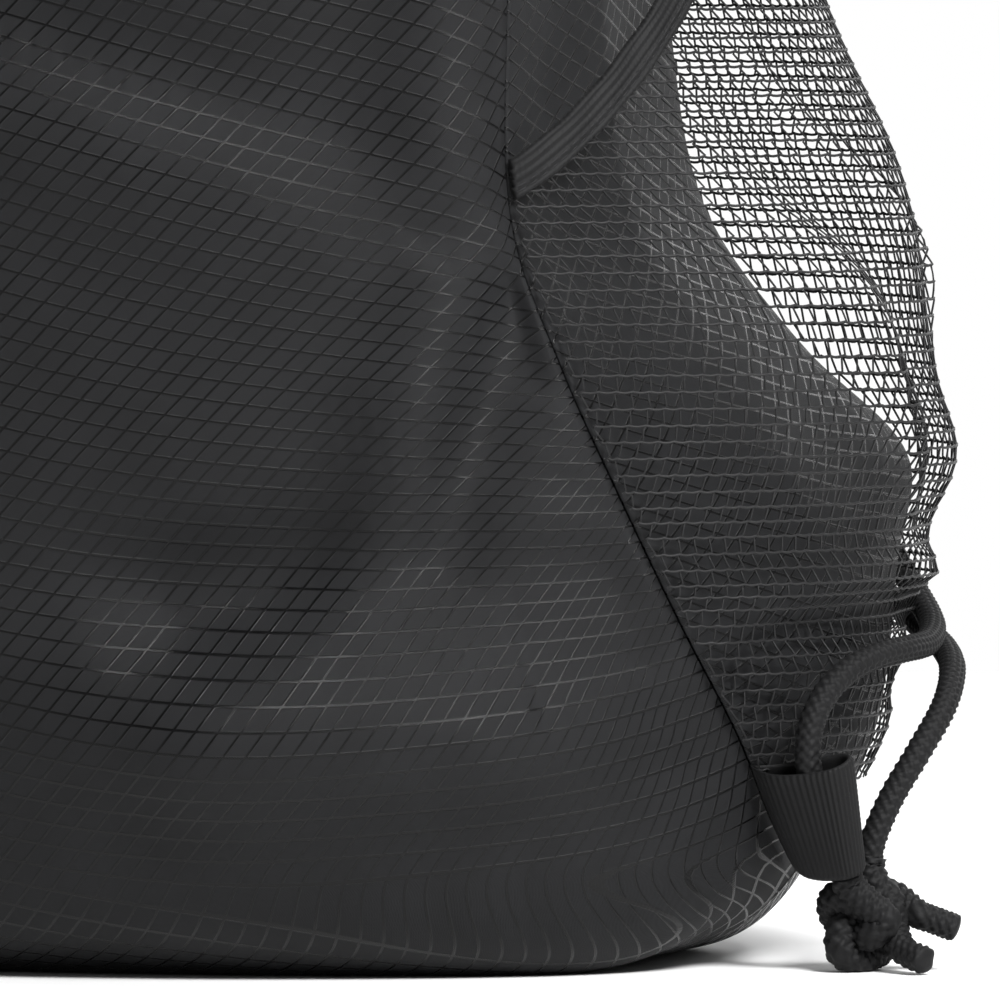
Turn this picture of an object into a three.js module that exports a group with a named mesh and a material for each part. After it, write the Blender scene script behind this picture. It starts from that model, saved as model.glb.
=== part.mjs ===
// Drawstring gym sack with a mesh pocket on each side, standing filled on its base with a half-open mouth.
// Millimetres, +Z up, the front faces -Y. The origin is the middle of the base, on the floor.
import * as THREE from "three";

// ---- Driving dimensions ----
const CLOTH = 1.5; // coated ripstop with its lining
const NET = 1; // knitted pocket mesh
const GAP = 0.3; // clearance between pieces that touch
const CORNER_X = 168; // half the width at the bottom corners
const BASE_Y = 64; // half the depth of the flat base
const BELLY_Y = 100; // half the depth at the belly
const TOP_Z = 382; // top edge of the cloth panels
const FLAT_SHARE = 0.55; // share of the half width over which the base is truly flat
const FULLNESS = 2.6; // how squarely a panel is filled out between its seams
const LIFT_POWER = 5; // how quickly the base rises to its corners
const SIDE_START = 0.14; // where the side panel begins, as a share of the way up the seam
const SIDE_BULGE = 22; // how far the side panel swells past its seams
const SEAM_INSET = 1.9; // from a front or back seam to the side panel's edge
const POCKET_START = 0.245;
const POCKET_BALLOON = 46; // how far the mesh swells off the side panel
const POCKET_FULLNESS = 0.8; // below 1, the swelling spreads out towards the seams
const POCKET_CLEAR = 0.9; // between the mesh and the side panel at their shared seams
const MOUTH_FRONT = 0.712; // where the pocket's mouth meets the front seam
const MOUTH_RISE = 0.141; // how much further up it meets the back seam
const ELASTIC_WIDTH = 6;
const ELASTIC_THICK = 1.6;
const ELASTIC_PROUD = 0.9; // how far its outer face stands past the mesh
const CHANNEL_HEIGHT = 24;
const CHANNEL_DEPTH = 10.4;
const CHANNEL_WALL = 1.2;
const CHANNEL_END = 0.97; // how near to the side seams the channel ends
const CHANNEL_STEPS = 16;
const CHANNEL_SEGMENTS = 3;
const MOUTH_STEPS = 12;
const CORD = 5.5; // diameter of the braided drawcord
const CORD_LANE = 4.5; // height of each drawcord's lane over or under the channel's middle
const CORD_SEGMENTS = 4; // the section has twice as many sides
const CORD_STEP = 3 * CORD;
const DROP_SPAN = [386, 397]; // heights between which the left strands come down to their lower start
const TURN_REACH = 0.8; // how far a cord's turn stands out of the mouth's end, as a share of half the gap
const BINDING_WIDTH = 7;
const BINDING_THICK = 1.2;
const BINDING_IN = 4; // from a seam in to its binding
const BINDING_START = SIDE_START + 0.06; // where the seams' bindings begin and end, as on the seams
const BINDING_END = 0.985;
const BASE_BINDING_SPAN = 0.8; // share of the width that the base seam's binding covers
const TAB_WEBBING = 25; // width of the webbing, along the seam
const TAB_LENGTH = 19;
const TAB_DEPTH = 10;
const TAB_WALL = 1.3;
const TAB_SEGMENTS = 4;
const TAB_HINGE = [172.8, -24.6, 30.6]; // middle of the stitching that holds the tab
const TAB_LEAN = [20, -14]; // degrees about X and Y from upright
const KNOT_CENTRE = [186.3, -12, 10.6];
const KNOT_HALF = [11.5, 10, 10]; // half sizes of the overhand knot
const KNOT_LUMPS = 0.06; // how far the cord's turns stand out of it, as a share

// Columns and rows of each sheet's grid.
const PANEL_GRID = [22, 18];
const SIDE_GRID = [10, 18];
const POCKET_GRID = [10, 14]; // as many columns as the side panel, so that the two never touch
const ELASTIC_GRID = [10, 1];
const BINDING_GRID = [1, 14];
const BASE_BINDING_GRID = [20, 1];
const KNOT_GRID = [16, 10]; // round and from top to bottom

// ---- Materials ----
const fabric = (color, roughness) => new THREE.MeshStandardMaterial({ color, roughness, metalness: 0 });
const RIPSTOP = fabric(0x2b2c2e, 0.6);
const MESH = fabric(0x3a3b3c, 0.8);
const TRIM = fabric(0x1f1f20, 0.7);
const BRAID = fabric(0x262627, 0.8);

// ---- Shape of the filled sack ----
const curve = (points) => new THREE.CatmullRomCurve3(points.map((p) => new THREE.Vector3(...p)));
const mix = THREE.MathUtils.lerp;

// Each of these runs from the bottom seam to the mouth, and the four share their steps.
const centreLine = (side) =>
  curve([
    [0, 0, 0],
    [0, side * BASE_Y * 0.5, 0],
    [0, side * BASE_Y, 0],
    [0, side * 86, 12],
    [0, side * 95, 42],
    [0, side * BELLY_Y, 85],
    [0, side * BELLY_Y, 130],
    [0, side * 98, 180],
    [0, side * 92, 245],
    [0, side * 76, 320],
    [0, side * 46, TOP_Z],
  ]);
const FRONT_SEAM = curve([
  [CORNER_X, 0, 20],
  [CORNER_X, -9, 25],
  [CORNER_X - 1, -20, 34],
  [164, -32, 50],
  [155.5, -48, 75],
  [145, -58, 102],
  [134, -65, 130],
  [124.5, -69, 160],
  [124, -70, 225],
  [117, -58, 308],
  [92, -26, TOP_Z],
]);
const BACK_SEAM = curve([
  [CORNER_X, 0, 20],
  [169.5, 10, 25],
  [171, 22, 34],
  [172.5, 38, 52],
  [172.5, 52, 77],
  [170, 62, 103],
  [150, 68, 130],
  [124, 70, 165],
  [115, 70, 228],
  [111, 58, 308],
  [92, 26, TOP_Z],
]);
const CENTRE = { front: centreLine(-1), back: centreLine(1) };
const SEAM = { front: FRONT_SEAM, back: BACK_SEAM };

// How far a point at a share of the half width has left the middle's height for the seam's.
const lift = (share) => Math.max(0, (share - FLAT_SHARE) / (1 - FLAT_SHARE)) ** LIFT_POWER;

// A point of the front or back panel: across from -1 to 1, up from the bottom seam at 0 to the mouth at 1.
function panelPoint(face, across, up) {
  const sign = face === "front" ? -1 : 1;
  const middle = CENTRE[face].getPoint(up);
  const edge = SEAM[face].getPoint(up);
  const share = Math.abs(across);
  const y = mix(middle.y, edge.y, share ** FULLNESS);
  const z = mix(middle.z, edge.z, lift(share));
  return new THREE.Vector3(across * edge.x, sign * Math.max(sign * y, GAP), Math.max(z, 0));
}
const frontPanel = (u, v) => panelPoint("front", 2 * u - 1, v);
const backPanel = (u, v) => panelPoint("back", 1 - 2 * u, v);
const heldBeyond = (sign) => (p) => new THREE.Vector3(p.x, sign * Math.max(sign * p.y, GAP), p.z);

// A point of the right side panel: u from the front seam to the back seam, up as on the seams.
function sidePoint(u, up) {
  const front = FRONT_SEAM.getPoint(up);
  const chord = BACK_SEAM.getPoint(up).sub(front);
  const inset = SEAM_INSET / chord.length();
  const t = mix(inset, 1 - inset, u);
  const swell = Math.sin(Math.PI * ((up - SIDE_START) / (1 - SIDE_START)) ** 0.9);
  return front.addScaledVector(chord, t).add(new THREE.Vector3(SIDE_BULGE * swell * 4 * t * (1 - t), 0, 0));
}
const sidePanel = (u, v) => sidePoint(u, mix(SIDE_START, 1, v));

// How far the pocket mesh stands off the side panel, from its bottom at 0 to its mouth at 1.
const balloon = curve([
  [0, 0, 0],
  [0.2, 1, 0],
  [0.4, 7, 0],
  [0.6, 29, 0],
  [0.8, POCKET_BALLOON, 0],
  [1, 19, 0],
]);

// A point of the right pocket's mesh, whose mouth slants up towards the back.
function pocket(u, v) {
  const mouth = MOUTH_FRONT + MOUTH_RISE * Math.sin((Math.PI / 2) * u);
  const onSide = (a, b) => sidePoint(a, mix(POCKET_START, mouth, b));
  const out = normal(onSide, u, v).multiplyScalar(POCKET_CLEAR + NET);
  out.x += balloon.getPoint(v).y * (4 * u * (1 - u)) ** POCKET_FULLNESS;
  return onSide(u, v).add(out);
}

// The elastic that binds the pocket's mouth carries on from the mesh's edge.
function pocketElastic(u, v) {
  const edge = pocket(u, 1);
  const along = edge.clone().sub(pocket(u, 1 - 2 * NUDGE)).normalize();
  edge.addScaledVector(along, GAP + ELASTIC_WIDTH * v);
  return edge.addScaledVector(normal(pocket, u, 1), ELASTIC_PROUD);
}

// ---- Makers ----
// The outward normal of surface(u, v), where u and v run from 0 to 1.
const NUDGE = 0.01; // the change of u or v that a direction is measured over
function normal(surface, u, v) {
  const across = surface(Math.min(u + NUDGE, 1), v).sub(surface(Math.max(u - NUDGE, 0), v));
  const up = surface(u, Math.min(v + NUDGE, 1)).sub(surface(u, Math.max(v - NUDGE, 0)));
  return across.cross(up).normalize();
}

// A closed sheet whose outer face follows surface(u, v), with its inner face one thickness behind.
// hold(point) keeps the inner face on the piece's own side of a plane.
function sheet(surface, thickness, [columns, rows], hold = (point) => point) {
  const box = new THREE.BoxGeometry(1, 1, 1, columns, rows, 1);
  const at = box.attributes.position;
  for (let i = 0; i < at.count; i++) {
    const u = at.getX(i) + 0.5;
    const v = at.getY(i) + 0.5;
    const depth = (0.5 - at.getZ(i)) * thickness;
    const point = hold(surface(u, v).addScaledVector(normal(surface, u, v), -depth));
    at.setXYZ(i, point.x, point.y, point.z);
  }
  box.computeVertexNormals();
  return box;
}

const sack = new THREE.Group();

function add(name, geometry, material, group = sack) {
  const mesh = new THREE.Mesh(geometry, material);
  mesh.name = name;
  group.add(mesh);
  return mesh;
}

// ---- Cloth panels ----
add("front_panel", sheet(frontPanel, CLOTH, PANEL_GRID, heldBeyond(-1)), RIPSTOP);
add("back_panel", sheet(backPanel, CLOTH, PANEL_GRID, heldBeyond(1)), RIPSTOP);

// Inside each seam a folded tape binds the raw edges. It lies in line with the seam's two outward faces.
function seamBinding(face) {
  return (u, v) => {
    const up = mix(BINDING_START, BINDING_END, v);
    const seam = SEAM[face].getPoint(up);
    const sideNormal = normal(sidePoint, face === "front" ? 0 : 1, up);
    const panelNormal = normal(face === "front" ? frontPanel : backPanel, face === "front" ? 1 : 0, up);
    const inward = sideNormal.clone().add(panelNormal).normalize().negate();
    const turn = face === "front" ? u : 1 - u;
    const half = sideNormal.sub(panelNormal).normalize().multiplyScalar(BINDING_THICK / 2);
    if (face === "back") half.negate();
    return seam.addScaledVector(inward, BINDING_IN + BINDING_WIDTH * turn).add(half);
  };
}
const baseBinding = (u, v) => {
  const across = mix(-BASE_BINDING_SPAN, BASE_BINDING_SPAN, u);
  const floor = panelPoint("front", across, 0).z;
  const top = floor + CLOTH + 3 * GAP + BINDING_THICK;
  return new THREE.Vector3(across * CORNER_X, BINDING_WIDTH * (v - 0.5), top);
};
add("base_seam_binding", sheet(baseBinding, BINDING_THICK, BASE_BINDING_GRID), TRIM);

// ---- Drawcord channels round the mouth ----
// A level line along the mouth, from its left end to its right end.
function mouthLine(face, z) {
  const points = [];
  for (let i = 0; i <= MOUTH_STEPS; i++) {
    const p = panelPoint(face, mix(-CHANNEL_END, CHANNEL_END, i / MOUTH_STEPS), 1);
    points.push(p.setZ(z));
  }
  return points;
}
const CHANNEL_Z = TOP_Z + GAP + CHANNEL_HEIGHT / 2;

// A rounded slot, height along X and depth along Y.
function slot(path, height, depth) {
  const round = depth / 2;
  const reach = height / 2 - round;
  path.absarc(reach, 0, round, -Math.PI / 2, Math.PI / 2, false);
  path.absarc(-reach, 0, round, Math.PI / 2, (3 * Math.PI) / 2, false);
  path.closePath();
  return path;
}
// The same slot as a ring with an even wall.
function slotRing(height, depth, wall) {
  const ring = slot(new THREE.Shape(), height, depth);
  ring.holes.push(slot(new THREE.Path(), height - 2 * wall, depth - 2 * wall));
  return ring;
}
for (const face of ["front", "back"]) {
  const path = new THREE.CatmullRomCurve3(mouthLine(face, CHANNEL_Z));
  const section = slotRing(CHANNEL_HEIGHT, CHANNEL_DEPTH, CHANNEL_WALL);
  const tunnel = new THREE.ExtrudeGeometry(section, {
    steps: CHANNEL_STEPS,
    curveSegments: CHANNEL_SEGMENTS,
    bevelEnabled: false,
    extrudePath: path,
  });
  add(`${face}_drawcord_channel`, tunnel, RIPSTOP);
}

// ---- Drawcords ----
function cordAlong(points) {
  const path = new THREE.CatmullRomCurve3(points);
  const section = new THREE.Shape();
  section.absarc(0, 0, CORD / 2, 0, 2 * Math.PI, false);
  return new THREE.ExtrudeGeometry(section, {
    steps: Math.ceil(path.getLength() / CORD_STEP),
    curveSegments: CORD_SEGMENTS,
    bevelEnabled: false,
    extrudePath: path,
  });
}

// Each drawcord enters and leaves at its own side, so it turns round in the open at the other side.
function mouthLoop(z) {
  const front = mouthLine("front", z).reverse();
  const back = mouthLine("back", z);
  const clear = 2; // past the ends of the channels
  const leave = front[0].clone().sub(front[1]).setLength(clear).add(front[0]);
  const last = back[back.length - 1];
  const arrive = last.clone().sub(back[back.length - 2]).setLength(clear).add(last);
  const end = back[0];
  const turn = new THREE.Vector3(end.x - TURN_REACH * end.y, 0, z);
  return [leave, ...front, turn, ...back, arrive];
}
const LOOP_Z = { right: CHANNEL_Z + CORD_LANE, left: CHANNEL_Z - CORD_LANE };

// The right cord's strands, as shoulder straps: from the channel's end, over the neck of the sack, down its
// back and round to the bottom corner. The first goes through the tab, and the second straight to the knot.
const TAB_STRAND = [
  [93.1, -24.5, 398.8],
  [104, -18.5, 398.3],
  [115, -6, 393.5],
  [121, 11, 384],
  [121.5, 30, 370],
  [118, 48, 350],
  [113, 64, 325],
  [110, 76.5, 285],
  [109, 82.5, 240],
  [109, 86.5, 200],
  [112, 89.5, 165],
  [122, 92, 138],
  [137, 90, 118],
  [154, 83, 101],
  [169, 70, 88],
  [181, 52, 78],
  [189.5, 34, 71.5],
  [192.5, 17, 68.5],
  [191.8, 3, 68],
  [188.4, -9.5, 67],
  [184.6, -18.5, 64.4],
  [181.2, -25.2, 59.6],
  [179.1, -29, 53],
  [178.7, -29.9, 45.6],
  [180, -28.2, 38.5],
  [181.8, -25.3, 32],
  [183.5, -22.4, 25.6],
  [184.6, -20.5, 21.2],
  [185, -19.5, 18.9],
];
const KNOT_STRAND = [
  [93.1, 24.5, 398.8],
  [97.7, 22.8, 399.1],
  [102.9, 22, 399.2],
  [108.4, 22.8, 399],
  [113.2, 25.8, 398],
  [116.5, 30.7, 395.6],
  [117.8, 37, 391],
  [117, 45.5, 381.5],
  [113.8, 55.5, 366],
  [107.5, 67.5, 336],
  [98, 81, 280],
  [97, 86.5, 240],
  [97, 90, 200],
  [100, 92.5, 167],
  [108, 96, 140],
  [120, 97.5, 118],
  [136, 94, 101],
  [153, 85.5, 87],
  [168, 73, 77],
  [181, 57, 70],
  [191, 39, 66],
  [197, 22, 62],
  [198.5, 8, 55],
  [195.5, -2, 46],
  [191, -7.5, 36.5],
  [188, -10.5, 28],
  [187, -11.2, 22.2],
];
const UPPER_TAIL = [
  [198.3, -10.4, 12],
  [201.5, -9.5, 10.8],
  [206, -8, 9],
];
const LOWER_TAIL = [
  [195.6, -16, 5.2],
  [198.6, -18.4, 4],
  [202.4, -21, 3.1],
];
const points = (list) => list.map((p) => new THREE.Vector3(...p));

// A lumpy ball, as thick as three turns of cord lying over each other.
function knotBall() {
  const ball = new THREE.SphereGeometry(1, ...KNOT_GRID);
  const at = ball.attributes.position;
  const p = new THREE.Vector3();
  for (let i = 0; i < at.count; i++) {
    p.fromBufferAttribute(at, i);
    const turns = Math.sin(5 * p.x + 3 * p.z) * Math.cos(4 * p.y - 2 * p.x);
    p.multiplyScalar(1 - (KNOT_LUMPS * (1 + turns)) / 2);
    at.setXYZ(i, p.x, p.y, p.z);
  }
  return ball.scale(...KNOT_HALF).translate(...KNOT_CENTRE);
}

// The webbing is folded back on itself into a flat loop, which the cord passes through from top to bottom.
function tabLoop() {
  const loop = new THREE.ExtrudeGeometry(slotRing(TAB_LENGTH, TAB_DEPTH, TAB_WALL), {
    depth: TAB_WEBBING,
    curveSegments: TAB_SEGMENTS,
    bevelEnabled: false,
  });
  return loop.translate(TAB_LENGTH / 2, 0, -TAB_WEBBING / 2);
}

// ---- Both sides ----
// The left side is the right side's mirror image, apart from the height of its cord in the channel.
for (const side of ["right", "left"]) {
  const half = new THREE.Group();
  if (side === "left") half.scale.x = -1;
  sack.add(half);
  const put = (name, geometry, material) => add(`${side}_${name}`, geometry, material, half);

  put("side_panel", sheet(sidePanel, CLOTH, SIDE_GRID), RIPSTOP);
  put("mesh_pocket", sheet(pocket, NET, POCKET_GRID), MESH);
  put("pocket_elastic", sheet(pocketElastic, ELASTIC_THICK, ELASTIC_GRID), TRIM);
  for (const face of ["front", "back"])
    put(`${face}_seam_binding`, sheet(seamBinding(face), BINDING_THICK, BINDING_GRID), TRIM);

  const tab = put("webbing_tab", tabLoop(), TRIM);
  tab.position.set(...TAB_HINGE);
  tab.rotation.set(...TAB_LEAN.map(THREE.MathUtils.degToRad), 0);

  put("drawcord_mouth_loop", cordAlong(mouthLoop(LOOP_Z[side])), BRAID);
  const drop = LOOP_Z.right - LOOP_Z[side];
  const droppedBy = (z) => drop * THREE.MathUtils.smoothstep(z, ...DROP_SPAN);
  const lowered = (list) => points(list).map((p) => p.setZ(p.z - droppedBy(p.z)));
  put("strap_strand_to_tab", cordAlong(lowered(TAB_STRAND)), BRAID);
  put("strap_strand_to_knot", cordAlong(lowered(KNOT_STRAND)), BRAID);
  put("cord_knot", knotBall(), BRAID);
  put("upper_cord_tail", cordAlong(points(UPPER_TAIL)), BRAID);
  put("lower_cord_tail", cordAlong(points(LOWER_TAIL)), BRAID);
}

export default sack;
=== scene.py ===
# Drawstring gym sack with a mesh pocket on each side, standing filled with its cords hanging behind it.
# Shapes repeat the CAD model's own curves, so they are written in millimetres and scaled to metres.
import math

import bpy
import numpy as np
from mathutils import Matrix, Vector


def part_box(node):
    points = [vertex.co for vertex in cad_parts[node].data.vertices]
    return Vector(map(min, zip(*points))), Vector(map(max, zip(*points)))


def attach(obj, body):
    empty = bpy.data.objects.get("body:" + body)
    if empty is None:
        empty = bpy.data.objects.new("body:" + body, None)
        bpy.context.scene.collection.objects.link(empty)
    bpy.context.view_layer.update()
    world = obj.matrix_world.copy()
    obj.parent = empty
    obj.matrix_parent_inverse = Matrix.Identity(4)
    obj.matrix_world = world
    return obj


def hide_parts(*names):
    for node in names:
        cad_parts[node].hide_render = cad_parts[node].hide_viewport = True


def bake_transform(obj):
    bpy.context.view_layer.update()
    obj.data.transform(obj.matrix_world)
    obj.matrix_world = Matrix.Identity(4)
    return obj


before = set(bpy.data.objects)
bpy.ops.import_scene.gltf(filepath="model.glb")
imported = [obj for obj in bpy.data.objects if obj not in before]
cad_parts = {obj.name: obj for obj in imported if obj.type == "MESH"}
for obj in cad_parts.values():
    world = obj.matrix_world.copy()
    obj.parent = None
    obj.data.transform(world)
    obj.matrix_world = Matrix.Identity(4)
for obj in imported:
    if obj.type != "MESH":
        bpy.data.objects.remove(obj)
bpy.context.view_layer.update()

MM = 0.001  # metres

# ---- Camera ----
VIEW_AZIMUTH = math.radians(16)
VIEW_ELEVATION = math.radians(2.5)
VIEW_TARGET = Vector((0.1195, -0.060, 0.1015))
VIEW_DISTANCE = 3.0
VIEW_WIDTH = 0.2105
SENSOR = 36.0

camera_data = bpy.data.cameras.new("camera")
camera_data.sensor_width = SENSOR
camera_data.lens = SENSOR * VIEW_DISTANCE / VIEW_WIDTH
camera = bpy.data.objects.new("camera", camera_data)
bpy.context.scene.collection.objects.link(camera)
forward = Vector(
    (
        -math.sin(VIEW_AZIMUTH) * math.cos(VIEW_ELEVATION),
        math.cos(VIEW_AZIMUTH) * math.cos(VIEW_ELEVATION),
        -math.sin(VIEW_ELEVATION),
    )
)
camera.location = VIEW_TARGET - forward * VIEW_DISTANCE
camera.rotation_euler = forward.to_track_quat("-Z", "Y").to_euler()
bpy.context.scene.camera = camera

# ---- Sizes from the frame ----
low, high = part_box("front_drawcord_channel")
CHANNEL_Z = (low.z + high.z) / 2 / MM
TOP_Z = low.z / MM - 0.3
low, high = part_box("right_cord_knot")
KNOT_CENTRE = np.array((low + high) / 2) / MM

# ---- Driving dimensions, as in the CAD model ----
CLOTH = 1.5
CORNER_X = 168
BASE_Y = 64
BELLY_Y = 100
GAP = 0.3
FLAT_SHARE = 0.55
FULLNESS = 2.6
LIFT_POWER = 5
SIDE_START = 0.14
SIDE_BULGE = 22
SEAM_INSET = 0.5
POCKET_START = 0.245
POCKET_CLEAR = 0.9
NET = 1.0
MOUTH_FRONT = 0.712
MOUTH_RISE = 0.141
ELASTIC_WIDTH = 6
ELASTIC_THICK = 1.6
ELASTIC_PROUD = 0.9
CHANNEL_HEIGHT = 24
CHANNEL_DEPTH = 10.4
CHANNEL_END = 0.97
CORD = 5.5
CORD_LANE = 4.5
DROP_SPAN = (386, 397)
BINDING_WIDTH = 7
BINDING_THICK = 1.2
BINDING_IN = 4
TAB_WEBBING = 25
TAB_LENGTH = 19
TAB_DEPTH = 10
TAB_WALL = 1.3
TAB_HINGE = (172.8, -24.6, 30.6)
TAB_LEAN = (20, -14)

FRONT_SEAM = [
    (CORNER_X, 0, 20),
    (CORNER_X, -9, 25),
    (CORNER_X - 1, -20, 34),
    (164, -32, 50),
    (155.5, -48, 75),
    (145, -58, 102),
    (134, -65, 130),
    (124.5, -69, 160),
    (124, -70, 225),
    (117, -58, 308),
    (92, -26, TOP_Z),
]
BACK_SEAM = [
    (CORNER_X, 0, 20),
    (169.5, 10, 25),
    (171, 22, 34),
    (172.5, 38, 52),
    (172.5, 52, 77),
    (170, 62, 103),
    (150, 68, 130),
    (124, 70, 165),
    (115, 70, 228),
    (111, 58, 308),
    (92, 26, TOP_Z),
]
MIDDLE = [
    (0, 0),
    (BASE_Y / 2, 0),
    (BASE_Y, 0),
    (86, 12),
    (95, 42),
    (BELLY_Y, 85),
    (BELLY_Y, 130),
    (98, 180),
    (92, 245),
    (76, 320),
    (46, TOP_Z),
]
BALLOON = [(0, 0, 0), (0.2, 1, 0), (0.4, 7, 0), (0.6, 29, 0), (0.8, 46, 0), (1, 19, 0)]
TAB_STRAND = [
    (93.1, -24.5, 398.8),
    (104, -18.5, 398.3),
    (115, -6, 393.5),
    (121, 11, 384),
    (121.5, 30, 370),
    (118, 48, 350),
    (113, 64, 325),
    (110, 76.5, 285),
    (109, 82.5, 240),
    (109, 86.5, 200),
    (112, 89.5, 165),
    (122, 92, 138),
    (137, 90, 118),
    (154, 83, 101),
    (169, 70, 88),
    (181, 52, 78),
    (189.5, 34, 71.5),
    (192.5, 17, 68.5),
    (191.8, 3, 68),
    (188.4, -9.5, 67),
    (184.6, -18.5, 64.4),
    (181.2, -25.2, 59.6),
    (179.1, -29, 53),
    (178.7, -29.9, 45.6),
    (180, -28.2, 38.5),
    (181.8, -25.3, 32),
    (183.5, -22.4, 25.6),
    (184.6, -20.5, 21.2),
    (185, -19.5, 18.9),
]
KNOT_STRAND = [
    (93.1, 24.5, 398.8),
    (97.7, 22.8, 399.1),
    (102.9, 22, 399.2),
    (108.4, 22.8, 399),
    (113.2, 25.8, 398),
    (116.5, 30.7, 395.6),
    (117.8, 37, 391),
    (117, 45.5, 381.5),
    (113.8, 55.5, 366),
    (107.5, 67.5, 336),
    (98, 81, 280),
    (97, 86.5, 240),
    (97, 90, 200),
    (100, 92.5, 167),
    (108, 96, 140),
    (120, 97.5, 118),
    (136, 94, 101),
    (153, 85.5, 87),
    (168, 73, 77),
    (181, 57, 70),
    (191, 39, 66),
    (197, 22, 62),
    (198.5, 8, 55),
    (195.5, -2, 46),
    (191, -7.5, 36.5),
    (188, -10.5, 28),
    (187, -11.2, 22.2),
]


# ---- Arithmetic ----
def mix(a, b, share):
    return a + (b - a) * share


def smooth(start, end, x):
    share = np.clip((x - start) / (end - start), 0, 1)
    return share * share * (3 - 2 * share)


def hump(x, centre, width):
    return np.exp(-(((x - centre) / width) ** 2))


def unit(v):
    return v / np.linalg.norm(v, axis=-1, keepdims=True).clip(1e-12)


def curve_at(points, share):
    """The smooth curve through points, at each share of the way along its stretches."""
    inner = np.asarray(points, float)
    ends = [2 * inner[0] - inner[1], 2 * inner[-1] - inner[-2]]
    p = np.vstack([ends[0], inner, ends[1]])
    place = np.clip(np.asarray(share, float), 0, 1) * (len(inner) - 1)
    i = np.minimum(place.astype(int), len(inner) - 2)
    w = (place - i)[..., None]
    p0, p1, p2, p3 = (p[i + k] for k in range(4))
    d0, d1, d2 = (
        np.linalg.norm(b - a, axis=-1, keepdims=True) ** 0.5
        for a, b in ((p0, p1), (p1, p2), (p2, p3))
    )
    t1 = ((p1 - p0) / d0 - (p2 - p0) / (d0 + d1) + (p2 - p1) / d1) * d1
    t2 = ((p2 - p1) / d1 - (p3 - p1) / (d1 + d2) + (p3 - p2) / d2) * d1
    return (
        p1
        + w * t1
        + w**2 * (3 * (p2 - p1) - 2 * t1 - t2)
        + w**3 * (2 * (p1 - p2) + t1 + t2)
    )


def run_of(line):
    """How far along a polyline each of its points is."""
    return np.concatenate([[0], np.cumsum(np.linalg.norm(np.diff(line, axis=0), axis=1))])


def sampled(at, places, values):
    """Rows of three values, given at rising places, read off at other places."""
    return np.stack([np.interp(at, places, values[:, i]) for i in range(3)], -1)


def evenly(line, step):
    """Points a step apart along a fine polyline, its ends kept."""
    run = run_of(line)
    return sampled(np.linspace(0, run[-1], max(2, int(round(run[-1] / step)) + 1)), run, line)


def route(points, step):
    return evenly(curve_at(points, np.linspace(0, 1, 40 * len(points))), step)


def normals(grid):
    """Outward normals of a grid of points whose rows run up and whose columns run across."""
    return unit(np.cross(np.gradient(grid, axis=1), np.gradient(grid, axis=0)))


def run_along(grid, axis):
    """How far each point is from the grid's first row or column, measured in the cloth."""
    steps = np.linalg.norm(np.diff(grid, axis=axis), axis=-1)
    start = np.zeros_like(np.take(steps, [0], axis=axis))
    return np.concatenate([start, np.cumsum(steps, axis=axis)], axis=axis)


# ---- Surfaces of the filled sack, right side ----
STEP = 0.01  # a small share of a surface, for slopes taken by differences


def panel_point(face, across, up):
    sign = -1 if face == "front" else 1
    middle = curve_at([(0, sign * y, z) for y, z in MIDDLE], up)
    edge = curve_at(FRONT_SEAM if face == "front" else BACK_SEAM, up)
    share = np.abs(across)
    lift = np.maximum(0, (share - FLAT_SHARE) / (1 - FLAT_SHARE)) ** LIFT_POWER
    y = mix(middle[..., 1], edge[..., 1], share**FULLNESS)
    z = np.maximum(mix(middle[..., 2], edge[..., 2], lift), 0)
    return np.stack([across * edge[..., 0], sign * np.maximum(sign * y, GAP), z], -1)


def side_point(u, up):
    front = curve_at(FRONT_SEAM, up)
    chord = curve_at(BACK_SEAM, up) - front
    inset = SEAM_INSET / np.linalg.norm(chord, axis=-1)
    t = mix(inset, 1 - inset, u)
    part = np.clip((up - SIDE_START) / (1 - SIDE_START), 0, 1)
    point = front + chord * t[..., None]
    point[..., 0] += SIDE_BULGE * np.sin(math.pi * part**0.9) * 4 * t * (1 - t)
    return point


def pocket_up(u, v):
    """How far up the seams a point of the pocket is."""
    return mix(POCKET_START, MOUTH_FRONT + MOUTH_RISE * np.sin(math.pi / 2 * u), v)


def pocket_point(u, v):
    """A point of the pocket's mesh, with u across it and v up it."""

    def under(a, b):
        return side_point(a, pocket_up(a, b))

    u0, u1 = np.maximum(u - STEP, 0), np.minimum(u + STEP, 1)
    v0, v1 = np.maximum(v - STEP, 0), np.minimum(v + STEP, 1)
    out = unit(np.cross(under(u1, v) - under(u0, v), under(u, v1) - under(u, v0)))
    point = under(u, v) + out * (POCKET_CLEAR + NET)
    point[..., 0] += curve_at(BALLOON, v)[..., 1] * np.clip(4 * u * (1 - u), 0, 1) ** 0.8
    return point


BACK_SWELL = 7


def swollen(points):
    """What is packed inside pushes the back corners out, just above the cords."""
    x, y, z = points[..., 0], points[..., 1], points[..., 2]
    out = BACK_SWELL * hump(z, 110, 15) * smooth(118, 160, np.abs(x)) * smooth(-5, 45, y)
    moved = points.copy()
    moved[..., 0] += np.sign(x) * out
    return moved


def spread(columns, rows):
    return np.meshgrid(np.linspace(0, 1, columns), np.linspace(0, 1, rows))


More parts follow.
